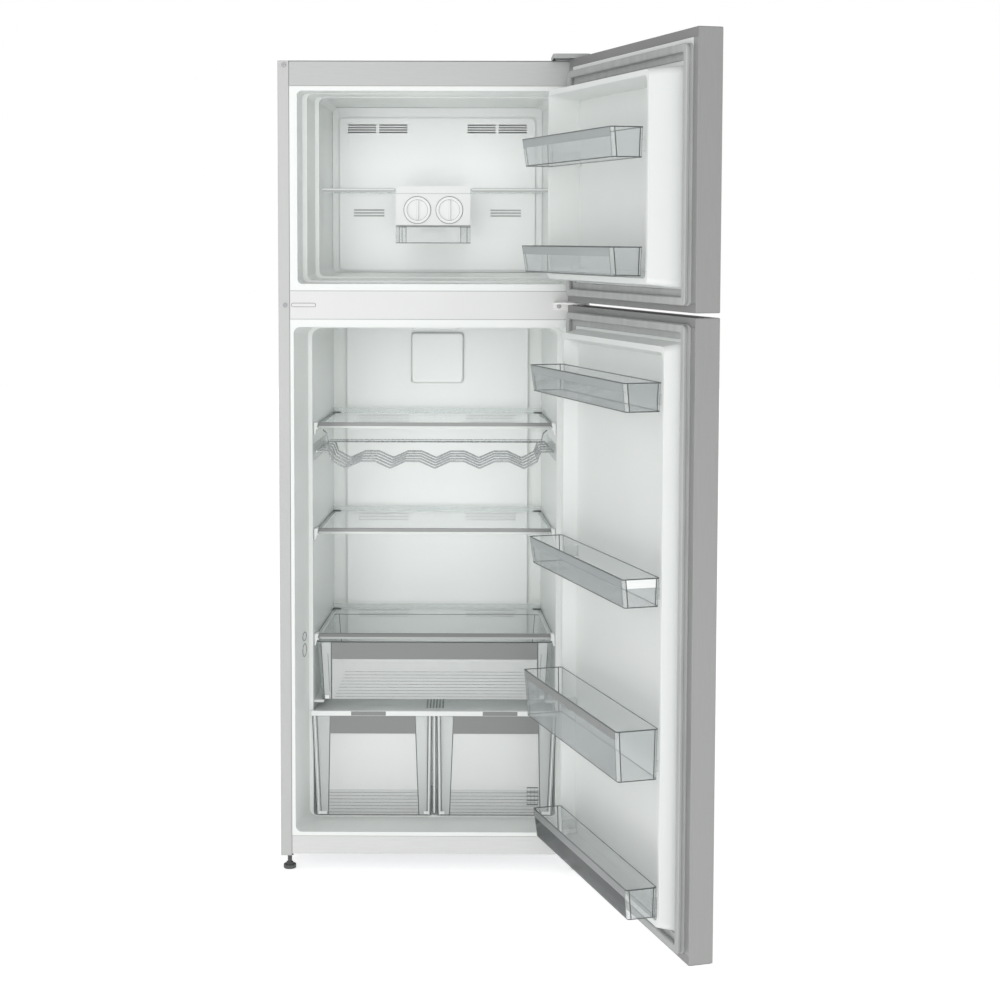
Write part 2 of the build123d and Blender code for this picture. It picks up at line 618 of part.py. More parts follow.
def door_bins(bins, half, back, recess_floor):
    """Clear door bins of one kind, each a tapering open tub with the two arms that hook it to the liner."""
    with BuildPart() as tubs:
        for z, front in bins:
            rim = ((-half, back), (half, back), (half, front), (-half, front))
            foot = ((-half + 5, back), (half - 5, back), (half - 5, front - 7), (-half + 5, front - 7))
            lofted_tub(foot, rim, z, DOOR, corner=11)
            for side in (-1, 1):
                arm = (side * 256, side * 262)
                slab(arm, (recess_floor + 1, back + 2), (z[0] + 12, z[0] + 34), DOOR)
    return tubs.part


def boss_heights(bins):
    """Where a liner needs bosses for its bins' arms to hang on."""
    return [z[0] + 3.5 for z, _ in bins]


os.makedirs("parts", exist_ok=True)

FREEZER_BINS = (((1383, 1440), 125), ((1609, 1668), 125))
SHELF_BINS = (((745, 803), 100), ((1123, 1181), 100))
BOTTLE_BIN = (((405, 507), 111),)
FLOOR_BIN = (((131, 193), 88),)

save(side_panel(-1), "side_panel_left")
save(side_panel(1), "side_panel_right")
CASE_NAMES = ("top_panel", "top_front_bar", "back_panel", "bottom_front_bar", "mullion_cover")
for piece, name in zip(case_panels(), CASE_NAMES):
    save(piece, name)
save(base_plate(), "base_plate")

SHELF_LEDGES = [(fridge_wall, SHELF_Y, (height - 6.6, height - 2.1), 10) for height in SHELF_HEIGHTS]
RUNNER_LEDGES = [(fridge_wall, (118, 446), (368, 373.6), 22), (fridge_wall, (104, 336), (343.2, 347.3), 8)]
FRIDGE_STAGES = (FRIDGE_MOUTH, FRIDGE_LOW, FRIDGE_HIGH)
FREEZER_STAGES = (FREEZER_MOUTH, FREEZER_STEP, FREEZER_BACK)
save(liner(FRIDGE_FLANGE_Z, FRIDGE_STAGES, SHELF_LEDGES + RUNNER_LEDGES), "fridge_liner")
save(liner(FREEZER_FLANGE_Z, FREEZER_STAGES, ()), "freezer_liner")
save(cabinet_foam(), "cabinet_foam")

for piece, name in zip(evaporator_set(), ("freezer_back_cover", "evaporator", "fan_rotor", "fan_motor")):
    save(piece, name)
for piece, name in zip(air_duct(), ("air_duct_panel", "airflow_cover")):
    save(piece, name)
BAY_NAMES = ("compressor", "drain_pan", "compressor_cover", "cable_gland", "rear_spacers")
for piece, name in zip(compressor_bay(), BAY_NAMES):
    save(piece, name)
HINGE_NAMES = ("top_hinge_bracket", "top_hinge_cover", "middle_hinge_bracket", "bottom_hinge_bracket")
for piece, name in zip(hinges(), HINGE_NAMES):
    save(piece, name)
save(case_screws(), "case_screws")
save(levelling_foot(-FOOT_X), "foot_left")
save(levelling_foot(FOOT_X), "foot_right")
save(rear_rollers(), "rear_rollers")
for piece, name in zip(fridge_shelves(), ("shelf_glass", "shelf_trims")):
    save(piece, name)
for piece, name in zip(wine_rack(), ("wine_rack", "rack_rails")):
    save(piece, name)
save(chiller_drawer(), "chiller_drawer")
for piece, name in zip(crisper_cover(), ("crisper_cover_glass", "crisper_cover_trim")):
    save(piece, name)
save(crisper(-1), "crisper_left")
save(crisper(1), "crisper_right")
FREEZER_NAMES = ("freezer_shelf_glass", "freezer_shelf_trim", "ice_maker_housing", "ice_box")
for piece, name in zip(freezer_fittings(), FREEZER_NAMES):
    save(piece, name)
for x, name in zip(KNOB_X, ("ice_tray_left", "ice_tray_right")):
    save(ice_tray(x), name)
save(wall_lamp(), "lamp_lens")

DOOR_PIECES = ("skin", "end_caps", "liner", "foam", "gasket")
FRIDGE_BINS = (*SHELF_BINS, *BOTTLE_BIN, *FLOOR_BIN)
for prefix, *spans, bins in (
    ("freezer_door", FREEZER_DOOR_Z, FREEZER_SEAL_Z, FREEZER_DYKE_Z, FREEZER_DYKE, FREEZER_BINS),
    ("fridge_door", FRIDGE_DOOR_Z, FRIDGE_SEAL_Z, FRIDGE_DYKE_Z, FRIDGE_DYKE, FRIDGE_BINS),
):
    for piece, name in zip(door_panel(*spans, boss_heights(bins)), DOOR_PIECES):
        save(piece, f"{prefix}_{name}")
RECESS_FLOOR = DOOR_Y[1] + 6
save(door_bins(FREEZER_BINS, 265, FREEZER_DYKE + 1, RECESS_FLOOR), "freezer_door_bins")
save(door_bins(SHELF_BINS, 278, FRIDGE_DYKE + 1, RECESS_FLOOR), "fridge_door_bins")
save(door_bins(BOTTLE_BIN, 278, FRIDGE_DYKE + 1, RECESS_FLOOR), "bottle_bin")
save(door_bins(FLOOR_BIN, 278, FRIDGE_DYKE + 1, RECESS_FLOOR), "floor_bin")
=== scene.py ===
import bpy
import json
from math import cos, pi, radians, sin
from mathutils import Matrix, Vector


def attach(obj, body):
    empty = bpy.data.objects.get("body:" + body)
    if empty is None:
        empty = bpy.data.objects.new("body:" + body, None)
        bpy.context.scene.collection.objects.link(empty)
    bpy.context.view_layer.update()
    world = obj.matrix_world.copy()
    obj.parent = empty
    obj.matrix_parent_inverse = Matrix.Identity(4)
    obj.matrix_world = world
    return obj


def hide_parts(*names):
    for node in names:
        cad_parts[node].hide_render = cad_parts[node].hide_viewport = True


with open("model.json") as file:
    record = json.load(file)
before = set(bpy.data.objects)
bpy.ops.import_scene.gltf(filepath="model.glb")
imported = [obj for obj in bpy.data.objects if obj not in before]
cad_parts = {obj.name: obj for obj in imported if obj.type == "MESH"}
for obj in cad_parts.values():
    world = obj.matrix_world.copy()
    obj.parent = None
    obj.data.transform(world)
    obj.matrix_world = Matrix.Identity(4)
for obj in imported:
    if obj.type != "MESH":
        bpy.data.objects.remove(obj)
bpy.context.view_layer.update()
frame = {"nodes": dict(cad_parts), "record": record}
NODES = frame["nodes"]
SCENE = bpy.context.scene
MM = 0.001
SIDES = (-1, 1)


# ---------------------------------------------------------------- colours and shader nodes

def tone(r, g, b):
    """A screen colour, 0 to 255, as the linear colour that shaders take."""
    def linear(v):
        v /= 255
        return v / 12.92 if v <= 0.04045 else ((v + 0.055) / 1.055) ** 2.4
    return (linear(r), linear(g), linear(b), 1.0)


def shade(colour, factor):
    """A colour made darker or lighter by a factor."""
    return tuple(min(1.0, c * factor) for c in colour[:3]) + (1.0,)


class Look:
    """A material under construction: its node tree, and short ways to add to it."""

    def __init__(self, name):
        self.material = bpy.data.materials.new(name)
        self.material.use_nodes = True
        self.tree = self.material.node_tree
        self.tree.nodes.clear()
        self.output = self.add("ShaderNodeOutputMaterial")
        self.space = self.add("ShaderNodeTexCoord").outputs["Object"]

    def add(self, kind, **values):
        node = self.tree.nodes.new(kind)
        for key, value in values.items():
            if key in node.inputs:
                node.inputs[key].default_value = value
            else:
                setattr(node, key, value)
        return node

    def join(self, start, end):
        self.tree.links.new(start, end)

    def noise(self, scale, stretch=(1, 1, 1), detail=3.0):
        """Noise in the object's own metres, stretched along its axes."""
        mapping = self.add("ShaderNodeMapping")
        mapping.inputs["Scale"].default_value = stretch
        self.join(self.space, mapping.inputs["Vector"])
        noise = self.add("ShaderNodeTexNoise", Scale=scale, Detail=detail)
        self.join(mapping.outputs["Vector"], noise.inputs["Vector"])
        return noise.outputs["Fac"]

    def ramp(self, source, low, high, start=0.3, end=0.7):
        """A value carried from one range to another."""
        ramp = self.add("ShaderNodeMapRange")
        for socket, value in zip(("From Min", "From Max", "To Min", "To Max"), (start, end, low, high)):
            ramp.inputs[socket].default_value = value
        self.join(source, ramp.inputs["Value"])
        return ramp.outputs["Result"]

    def blend_colour(self, source, low, high):
        mix = self.add("ShaderNodeMix", data_type="RGBA")
        mix.inputs["A"].default_value = low
        mix.inputs["B"].default_value = high
        self.join(source, mix.inputs["Factor"])
        return mix.outputs["Result"]

    def bump(self, source, strength, distance):
        bump = self.add("ShaderNodeBump", Strength=strength, Distance=distance)
        self.join(source, bump.inputs["Height"])
        return bump.outputs["Normal"]

    def shader(self, **values):
        return self.add("ShaderNodeBsdfPrincipled", **values)

    def finish(self, shader):
        self.join(shader.outputs[0], self.output.inputs["Surface"])
        return self.material


def plastic(name, colour, roughness=0.38, cloud=0.025, grain=0.0):
    """Moulded plastic: a faint unevenness of tone and gloss, and a moulded grain where there is one."""
    look = Look(name)
    body = look.shader(Roughness=roughness)
    tones = look.ramp(look.noise(5.0), 0, 1)
    clouded = look.blend_colour(tones, shade(colour, 1 - cloud), shade(colour, 1 + cloud))
    look.join(clouded, body.inputs["Base Color"])
    gloss = look.ramp(look.noise(7.0, detail=1), roughness - 0.02, roughness + 0.03)
    look.join(gloss, body.inputs["Roughness"])
    waves = look.bump(look.noise(6.0, detail=0), 0.05, 0.002)
    if grain:
        fine = look.add("ShaderNodeBump", Strength=grain, Distance=0.00005)
        look.join(look.noise(700.0, detail=1), fine.inputs["Height"])
        look.join(waves, fine.inputs["Normal"])
        waves = fine.outputs["Normal"]
    look.join(waves, body.inputs["Normal"])
    return look.finish(body)


def painted_steel(name, colour, metallic=0.55, roughness=0.34, grain=(90, 90, 1.2)):
    """Coated sheet steel: metallic flake under a clear coat, with a fine brushed grain along one axis."""
    look = Look(name)
    body = look.shader(Metallic=metallic, Roughness=roughness)
    body.inputs["Coat Weight"].default_value = 0.25
    body.inputs["Coat Roughness"].default_value = 0.12
    brushed = look.noise(14.0, grain, detail=5)
    streaked = look.blend_colour(look.ramp(brushed, 0, 1), shade(colour, 0.95), shade(colour, 1.04))
    look.join(streaked, body.inputs["Base Color"])
    look.join(look.ramp(brushed, roughness - 0.05, roughness + 0.08), body.inputs["Roughness"])
    look.join(look.bump(brushed, 0.08, 0.0001), body.inputs["Normal"])
    return look.finish(body)


def bare_metal(name, colour, roughness):
    """Plated or bare metal with a slight mottling."""
    look = Look(name)
    body = look.shader(Metallic=1.0, Roughness=roughness)
    mottle = look.noise(300.0, detail=4)
    mottled = look.blend_colour(look.ramp(mottle, 0, 1), shade(colour, 0.85), colour)
    look.join(mottled, body.inputs["Base Color"])
    look.join(look.ramp(mottle, roughness - 0.06, roughness + 0.1), body.inputs["Roughness"])
    look.join(look.bump(mottle, 0.1, 0.0001), body.inputs["Normal"])
    return look.finish(body)


def rubber(name, colour):
    """Soft extruded vinyl: matte, with faint streaks and dust."""
    look = Look(name)
    body = look.shader(Roughness=0.6)
    streaks = look.noise(40.0, (1, 1, 0.15), detail=4)
    streaked = look.blend_colour(look.ramp(streaks, 0, 1), shade(colour, 0.92), shade(colour, 1.06))
    look.join(streaked, body.inputs["Base Color"])
    look.join(look.bump(streaks, 0.1, 0.0004), body.inputs["Normal"])
    return look.finish(body)


def see_through(name, passed, body_colour, least, most, roughness=0.06, blend=0.35):
    """A clear sheet: tinted light passes straight on, and more of its own gloss and colour shows side on."""
    look = Look(name)
    clear = look.add("ShaderNodeBsdfTransparent", Color=passed)
    body = look.shader(Roughness=roughness)
    body.inputs["Base Color"].default_value = body_colour
    body.inputs["IOR"].default_value = 1.5
    waves = look.noise(9.0, detail=2)
    look.join(look.bump(waves, 0.05, 0.002), body.inputs["Normal"])
    look.join(look.ramp(waves, max(0.0, roughness - 0.02), roughness + 0.04), body.inputs["Roughness"])
    side_on = look.add("ShaderNodeLayerWeight", Blend=blend)
    share = look.ramp(side_on.outputs["Facing"], least, most, 0.05, 1.0)
    mix = look.add("ShaderNodeMixShader")
    look.join(share, mix.inputs["Fac"])
    look.join(clear.outputs[0], mix.inputs[1])
    look.join(body.outputs[0], mix.inputs[2])
    return look.finish(mix)


LOOKS = {
    "case_steel": painted_steel("silver_coated_steel", tone(186, 187, 186), 0.25, 0.5),
    "frame_grey": painted_steel("grey_front_bar", tone(184, 186, 185), 0.1, 0.5, (1.2, 60, 60)),
    "rear_steel": painted_steel("rear_coated_steel", tone(150, 151, 150), 0.2, 0.5),
    "frame_light": painted_steel("light_bottom_bar", tone(210, 211, 210), 0.1, 0.5, (1.2, 60, 60)),
    "mullion_white": plastic("mullion_plastic", tone(221, 222, 221), 0.4, 0.01),
    "galvanised": bare_metal("zinc_plate", tone(168, 170, 172), 0.42),
    "liner_white": plastic("formed_liner", tone(232, 235, 233), 0.32, 0.01),
    "foam": plastic("insulating_foam", tone(226, 208, 160), 0.9, 0.12, 0.8),
    "panel_white": plastic("white_moulding", tone(233, 235, 234), 0.34, 0.01),
    "fin_aluminium": bare_metal("fin_stock", tone(205, 208, 210), 0.35),
    "cover_dark": plastic("dark_moulding", tone(172, 174, 173), 0.45, 0.05, 0.3),
    "black_paint": painted_steel("black_enamel", tone(28, 28, 30), 0.0, 0.35, (30, 30, 30)),
    "foot_dark": plastic("dark_hard_plastic", tone(84, 85, 85), 0.55, 0.06, 0.4),
    "bracket_white": painted_steel("white_bracket_paint", tone(235, 235, 233), 0.05, 0.3, (20, 20, 20)),
    "screw_steel": bare_metal("screw_steel", tone(140, 141, 143), 0.32),
    "shelf_glass": see_through("shelf_glass", (0.982, 0.988, 0.987, 1), tone(236, 239, 238), 0.03, 0.15),
    "trim_grey": plastic("grey_shelf_trim", tone(126, 128, 127), 0.5, 0.01),
    "trim_white": plastic("white_shelf_trim", tone(234, 237, 235), 0.35),
    "chrome_wire": bare_metal("plated_wire", tone(176, 179, 180), 0.26),
    "clear_plastic": see_through("clear_drawer", (0.98, 0.984, 0.984, 1), tone(218, 222, 221), 0.05, 0.3),
    "bin_plastic": see_through("clear_bin", (0.987, 0.99, 0.99, 1), tone(224, 228, 228), 0.1, 0.3),
    "knob_grey": plastic("knob_plastic", tone(238, 240, 239), 0.3, 0.015),
    "cap_grey": plastic("door_end_cap", tone(129, 130, 129), 0.42, 0.04, 0.2),
    "gasket_grey": rubber("door_seal", tone(172, 174, 173)),
}
EDGE = plastic("clear_edge_line", tone(80, 86, 86), 0.3)
RIB = plastic("clear_floor_rib", tone(150, 157, 157), 0.3)
SOFT_EDGE = see_through("clear_soft_edge", (0.8, 0.84, 0.84, 1), tone(150, 158, 158), 0.3, 0.7)
BIN_BAND = plastic("grey_translucent_band", tone(158, 163, 164), 0.22)
GRIP = plastic("grey_grip_band", tone(136, 138, 137), 0.3, 0.006)
DARK_BAND = plastic("dark_grip_band", tone(118, 121, 121), 0.3, 0.01)
RAIL_LIP = plastic("pale_rail_lip", tone(186, 189, 187), 0.5, 0.01)
SEAM = plastic("soft_seam", tone(222, 225, 223), 0.5, 0.01)
# Painted highlight: pale strips and bands that stand in for light caught on the clear plastics' edges and
# feet.
PAINTED_HIGHLIGHT = plastic("painted_highlight", tone(236, 239, 238), 0.3)
MILKY = see_through("milky_front", (0.99, 0.993, 0.993, 1), tone(250, 251, 250), 0.34, 0.52, 0.3, 0.25)
FROST = see_through("frosted_front", (0.99, 0.993, 0.993, 1), tone(252, 253, 252), 0.45, 0.6, 0.3, 0.25)
# The door liners' darker copy of the white liner is painted shade, standing in for the dimmer light in the
# door recesses.
DOOR_LINER_SHADED = plastic("door_liner", tone(226, 229, 227), 0.32, 0.01)
GREY_BIN = see_through("grey_bin_front", (0.91, 0.92, 0.922, 1), tone(146, 151, 152), 0.34, 0.6)
PALE_BIN = see_through("pale_bin_end", (0.955, 0.963, 0.964, 1), tone(182, 187, 188), 0.2, 0.45)
DARK_BIN = see_through("smoky_bin_front", (0.22, 0.24, 0.245, 1), tone(30, 35, 36), 0.4, 0.75)
# The door skins' darker copy of the silver steel is painted shade, standing in for the darker surroundings
# they reflect.
DOOR_STEEL_SHADED = painted_steel("door_steel_painted_shade", tone(156, 157, 156), 0.4, 0.45)
COLUMN = see_through("clear_column", (0.985, 0.989, 0.989, 1), tone(244, 247, 246), 0.36, 0.6)
FRONT_RIB = see_through("front_rib_line", (0.9, 0.92, 0.92, 1), tone(178, 184, 184), 0.25, 0.6)
REAR_TRIM = see_through("clear_rear_trim", (0.96, 0.97, 0.97, 1), tone(228, 232, 230), 0.3, 0.6)
DARK_GAP = plastic("shadow_gap", tone(96, 98, 98), 0.6)
TINTED = see_through("tinted_lid", (0.96, 0.972, 0.97, 1), tone(250, 252, 251), 0.3, 0.9)


def dress(obj, material):
    """An object in one material."""
    obj.data.materials.clear()
    obj.data.materials.append(material)


def soften(obj, width=0.0006, angle=35):
    """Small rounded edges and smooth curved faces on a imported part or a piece."""
    weld = obj.modifiers.new("weld", "WELD")
    weld.merge_threshold = 1e-5
    bevel = obj.modifiers.new("edge", "BEVEL")
    bevel.width = width
    bevel.segments = 2
    bevel.limit_method = "ANGLE"
    bevel.angle_limit = radians(angle)
    obj.data.shade_smooth()
    flats = obj.modifiers.new("flats", "WEIGHTED_NORMAL")
    flats.weight = 80


THIN = ("_skin", "side_panel", "liner", "_panel", "compressor_cover", "freezer_back_cover", "bar")
OWN_LOOKS = {"skin": DOOR_STEEL_SHADED, "door_liner": DOOR_LINER_SHADED}
for part in frame["record"]["subparts"]:
    part_name = part["node"]
    own = [look for ending, look in OWN_LOOKS.items() if part_name.endswith(ending)]
    dress(NODES[part_name], own[0] if own else LOOKS[part["material_slot"]])
    soften(NODES[part_name], 0.0003 if any(word in part_name for word in THIN) else 0.0007)


# ---------------------------------------------------------------- places, spans and outlines

JOINTS = {joint["name"]: joint for joint in frame["record"]["behaviour"]["joints"]}
DOOR_JOINT = JOINTS["fridge_door_hinge"]
PIN = Vector(DOOR_JOINT["pos_m"]) / MM
OPEN = radians(-DOOR_JOINT["range_deg"][0])


def turned(x, y, angle):
    """A plan point turned about the doors' pin."""
    u, v = x - PIN.x, y - PIN.y
    return PIN.x + u * cos(angle) - v * sin(angle), PIN.y + u * sin(angle) + v * cos(angle)


def flat(point):
    """A point of the cabinet, in millimetres, as metres."""
    return Vector(point) * MM


def on_door(point):
    """A point of a shut door, in millimetres, where the open door carries it, in metres."""
    x, y = turned(point[0], point[1], OPEN)
    return Vector((x, y, point[2])) * MM


def points_of(name, door=False):
    """A CAD node's vertices in millimetres, in the shut door's directions when it is a door's."""
    points = []
    for vertex in NODES[name].data.vertices:
        x, y, z = vertex.co / MM
        if door:
            x, y = turned(x, y, -OPEN)
        points.append((x, y, z))
    return points


def span(points):
    """The lowest and highest corner of some points."""
    return tuple(Vector([pick(p[i] for p in points) for i in range(3)]) for pick in (min, max))


def stacks(points, gap=110):
    """The spans of pieces that stand one above another, from the lowest up."""
    groups, last = [], None
    for point in sorted(points, key=lambda p: p[2]):
        if last is None or point[2] - last > gap:
            groups.append([])
        groups[-1].append(point)
        last = point[2]
    return [span(group) for group in groups]


def inset(points, amount):
    """A convex outline, running anticlockwise, moved in by an amount."""
    count = len(points)
    moved = []
    for i, point in enumerate(points):
        before, here, after = Vector(points[i - 1]), Vector(point), Vector(points[(i + 1) % count])
        into, out = (here - before).normalized(), (after - here).normalized()
        left_in, left_out = Vector((-into.y, into.x)), Vector((-out.y, out.x))
        bisector = left_in + left_out
        moved.append(tuple(here + bisector * amount / (1 + left_in.dot(left_out))))
    return moved


def rounded(points, radius, line=1.8, steps=4):
    """A rounded outline's points, each with what starts there: a wall's number, a line or a corner."""
    loop = []
    for i, point in enumerate(points):
        before, here, after = Vector(points[i - 1]), Vector(point), Vector(points[(i + 1) % len(points)])
        into, out = (here - before).normalized(), (after - here).normalized()
        start, end = here - into * radius, here + out * radius
        loop.append((start - into * line, "line"))
        for step in range(steps + 1):
            t = step / steps
            spot = start * (1 - t) ** 2 + here * 2 * t * (1 - t) + end * t ** 2
            loop.append((spot, "corner" if step < steps else "line"))
        loop.append((end + out * line, i))
    return loop


def oblong(across, up):
    """A rectangle's corners, anticlockwise, from its two spans."""
    return [(across[0], up[0]), (across[1], up[0]), (across[1], up[1]), (across[0], up[1])]


def ring_faces(here, there, count):
    """The faces between two rings of points, given the number of each ring's first point."""
    return [(here + i, here + (i + 1) % count, there + (i + 1) % count, there + i) for i in range(count)]


class Piece:
    """A mesh under construction, in millimetres, with a material for each face."""

    def __init__(self, name, body, place=flat):
        self.name, self.body, self.place = name, body, place
        self.points, self.faces, self.marks, self.materials = [], [], [], []

    def add(self, points, faces, material):
        """Points and faces in one material, or in one for each face."""
        base = len(self.points)
        self.points += [tuple(p) for p in points]
        many = material if isinstance(material, list) else [material] * len(faces)
        for face, each in zip(faces, many):
            if each not in self.materials:
                self.materials.append(each)
            self.faces.append([base + i for i in face])
            self.marks.append(self.materials.index(each))

    def hull(self, low, high, material):
        """A block between two outlines of the same number of points."""
        count = len(low)
        ends = [tuple(reversed(range(count))), tuple(range(count, 2 * count))]
        self.add([*low, *high], [*ring_faces(0, count, count), *ends], material)

    def box(self, x, y, z, material):
        corners = oblong(x, y)
        self.hull([(*c, z[0]) for c in corners], [(*c, z[1]) for c in corners], material)

    def plate(self, outline, y, material):
        """A plate seen from the front, its outline given as x and z, from y[0] back to y[1]."""
        self.hull([(x, y[0], z) for x, z in outline], [(x, y[1], z) for x, z in outline], material)

    def tube(self, path, radius, material, closed=False, sides=8):
        """A round bar along a path."""
        path = [Vector(p) for p in path]
        count = len(path)
        rings = []
        for i, point in enumerate(path):
            before = path[i - 1] if i or closed else point
            after = path[(i + 1) % count] if i + 1 < count or closed else point
            along = (after - before).normalized()
            side = along.cross(Vector((0, 0, 1)) if abs(along.z) < 0.9 else Vector((0, 1, 0))).normalized()
            up = side.cross(along)
            turns = [2 * pi * k / sides for k in range(sides)]
            rings += [point + (side * cos(a) + up * sin(a)) * radius for a in turns]
        faces = []
        for i in range(count if closed else count - 1):
            faces += ring_faces(i * sides, ((i + 1) % count) * sides, sides)
        if not closed:
            last = (count - 1) * sides
            faces += [tuple(reversed(range(sides))), tuple(range(last, last + sides))]
        self.add(rings, faces, material)

    def tub(self, foot, rim, z, looks, wall=2.2, corner=11, bands=(), line=1.8):
        """An open tub with dark edges, looks for its walls, and bands given as (wall, low, high, look)."""
        clear, edge, bend, floor = looks
        levels = sorted({z[0], z[0] + line, z[1] - line, z[1], *(h for band in bands for h in band[1:3])})
        loops = [[point for point, _ in rounded(ends, corner, line)] for ends in (foot, rim)]
        kinds = [kind for _, kind in rounded(foot, corner, line)]
        count = len(kinds)

        def ring(pair, height):
            t = (height - z[0]) / (z[1] - z[0])
            return [(*a.lerp(b, t), height) for a, b in zip(*pair)]

        def look_at(kind, low, high):
            if low < z[0] + line / 2 or high > z[1] - line / 2 or kind == "line":
                return edge
            for number, start, end, look in bands:
                if kind == number and low >= start - 0.01 and high <= end + 0.01:
                    return look
            return bend if kind == "corner" else clear

        points = [p for height in levels for p in ring(loops, height)]
        faces, looks_used = [], []
        for level in range(len(levels) - 1):
            faces += ring_faces(level * count, (level + 1) * count, count)
            looks_used += [look_at(kind, levels[level], levels[level + 1]) for kind in kinds]
        faces.append(tuple(reversed(range(count))))
        looks_used.append(floor)
        inner = [[p for p, _ in rounded(inset(ends, wall), corner - wall / 2, line)] for ends in (foot, rim)]
        base = len(points)
        points += ring(inner, z[0] + wall) + ring(inner, z[1])
        top = (len(levels) - 1) * count
        for i in range(count):
            j = (i + 1) % count
            faces.append((base + j, base + i, base + count + i, base + count + j))
            looks_used.append(bend if kinds[i] in ("corner", "line") else clear)
            faces.append((top + i, top + j, base + count + j, base + count + i))
            looks_used.append(edge)
        faces.append(tuple(range(base, base + count)))
        looks_used.append(floor)
        self.add(points, faces, looks_used)

    def ribs(self, x, y, z, number, look, width=2.0):
        """Low ribs across a floor, spread over its depth."""
        for k in range(number):
            at = y[0] + (y[1] - y[0]) * (k + 0.5) / number
            self.box(x, (at - width / 2, at + width / 2), z, look)

    def done(self, replaces=(), bevel=0.0):
        """The piece as an object that rides on its body."""
        mesh = bpy.data.meshes.new(self.name)
        mesh.from_pydata([self.place(p) for p in self.points], [], self.faces)
        for material in self.materials:
            mesh.materials.append(material)
        mesh.polygons.foreach_set("material_index", self.marks)
        mesh.update()
        obj = bpy.data.objects.new(self.name, mesh)
        SCENE.collection.objects.link(obj)
        if bevel:
            soften(obj, bevel)
        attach(obj, self.body)
        if replaces:
            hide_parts(*replaces)
        return obj


def ring_path(centre, radius, y, count=40):
    """A closed path round an upright circle that faces the front."""
    turns = [2 * pi * k / count for k in range(count)]
    return [(centre[0] + radius * cos(a), y, centre[1] + radius * sin(a)) for a in turns]


# ---------------------------------------------------------------- the doors' bins and gaskets

def door_bins(name, body, liner, front_look, band_look, painted_near_highlight=False, smoky=False):
    """The clear bins of one node, drawn with their dark edges and the grey band along the front; where
    asked, the lowest bin's near end carries a painted highlight band.
    """
    line, band_tall, draft, lean = 2.2, 19, 5, 7
    lug, lug_rise = (256, 262), (12, 34)
    front_wall, near_wall = 2, 3
    backs = span(points_of(liner, True))[1].y + 1
    clear = LOOKS["bin_plastic"]
    piece = Piece(f"{name}_clear", body, on_door)
    for row, (low, high) in enumerate(stacks(points_of(name, True))):
        half, front, z = high.x - 0.2, high.y - 0.2, (low.z + 0.1, high.z - 0.1)
        foot_low, band_low, rim_low = z[0] + line, z[1] - band_tall, z[1] - line
        rim = oblong((-half, half), (backs, front))
        foot = oblong((-half + draft, half - draft), (backs, front - lean))
        bands = [(front_wall, band_low, rim_low, band_look)]
        # painted highlight: a pale band along the lowest bin's near end
        if painted_near_highlight and not row:
            bands.append((near_wall, band_low, rim_low, PAINTED_HIGHLIGHT))
        if smoky:
            bands.append((front_wall, foot_low, band_low, DARK_BIN))
        end_look = GREY_BIN if painted_near_highlight and row else PALE_BIN
        bands += [(front_wall, foot_low, band_low, front_look), (near_wall, foot_low, rim_low, end_look)]
        piece.tub(foot, rim, z, (clear, EDGE, clear, clear), corner=6, bands=bands, line=line)
        for side in SIDES:
            x, rise = [side * reach for reach in lug], [z[0] + up for up in lug_rise]
            piece.box(x, (low.y, backs + 2), rise, clear)
    piece.done(replaces=[name])


GASKET_PROFILE = ((0, -14.9), (0, -12), (3, -11.5), (5, -9.5), (1.5, -8), (0.5, -3), (2, -0.9), (14, -0.9),
                  (16, -3), (15.5, -8), (12, -9.5), (14, -11.5), (29, -11.8), (30, -14.9))


def gasket(name, body):
    """A door's magnetic seal: its hollow profile led round the door's inner face."""
    low, high = span(points_of(name, True))
    corners = oblong((low.x + 0.1, high.x - 0.1), (low.z + 0.1, high.z - 0.1))
    piece = Piece(f"{name}_profile", body, on_door)
    rings = []
    for move, y in GASKET_PROFILE:
        loop = rounded(inset(corners, move), max(2.0, 12 - move / 3))
        rings.append([(p.x, y, p.y) for p, _ in loop])
    count, rows = len(rings[0]), len(rings)
    points = [p for ring in rings for p in ring]
    faces = []
    for row in range(rows):
        faces += ring_faces(row * count, ((row + 1) % rows) * count, count)
    piece.add(points, faces, LOOKS["gasket_grey"])
    piece.done(replaces=[name], bevel=0.0003)


door_bins("freezer_door_bins", "freezer_door", "freezer_door_liner", PALE_BIN, BIN_BAND)
door_bins("fridge_door_bins", "fridge_door", "fridge_door_liner", GREY_BIN, BIN_BAND, painted_near_highlight=True)
door_bins("bottle_bin", "fridge_door", "fridge_door_liner", GREY_BIN, GRIP)
door_bins("floor_bin", "fridge_door", "fridge_door_liner", GREY_BIN, DARK_BAND, smoky=True)
gasket("freezer_door_gasket", "freezer_door")
gasket("fridge_door_gasket", "fridge_door")


# ---------------------------------------------------------------- shelves and rack

def half_width_at(name, y):
    """Half the width of a node where it is nearest to a depth."""
    points = points_of(name)
    near = min(abs(p[1] - y) for p in points)
    return max(abs(p[0]) for p in points if abs(p[1] - y) < near + 0.5)


